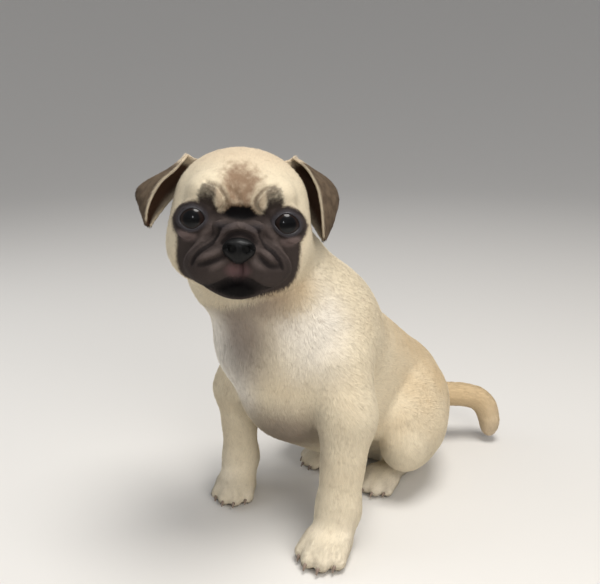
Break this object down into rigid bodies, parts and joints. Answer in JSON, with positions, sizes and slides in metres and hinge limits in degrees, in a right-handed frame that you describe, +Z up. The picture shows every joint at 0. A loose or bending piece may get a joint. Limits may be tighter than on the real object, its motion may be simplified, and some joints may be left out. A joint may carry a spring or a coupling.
{
  "type": "pug puppy",
  "caption": "Fawn pug puppy sitting upright, head turned to its left, dark folded mask and ears, tail curled aside: a still life-size model that rests on its paws and rump.",
  "frame": {"origin": "middle of the bounding box on the floor, under the belly", "axes": "+Z up; the puppy's body faces -Y, so its left side is +X; the head turns towards +X"},
  "size_m": [0.137, 0.2812, 0.2477],
  "materials": {
    "fawn_coat": "short dense fawn fur",
    "dark_velvet": "short dark velvet fur",
    "eye_gloss": "wet gloss, nearly black",
    "nose_leather": "fine grained, satin"
  },
  "bodies": {
    "root": {"head": "fawn_coat", "nose": "nose_leather", "eye_left": "eye_gloss", "eye_right": "eye_gloss", "ear_left": "dark_velvet", "ear_right": "dark_velvet", "neck": "fawn_coat", "torso": "fawn_coat", "tail": "fawn_coat", "foreleg_left": "fawn_coat", "foreleg_right": "fawn_coat", "forepaw_left": "fawn_coat", "forepaw_right": "fawn_coat", "hindleg_left": "fawn_coat", "hindleg_right": "fawn_coat", "hindpaw_left": "fawn_coat", "hindpaw_right": "fawn_coat"}
  },
  "joints": []
}
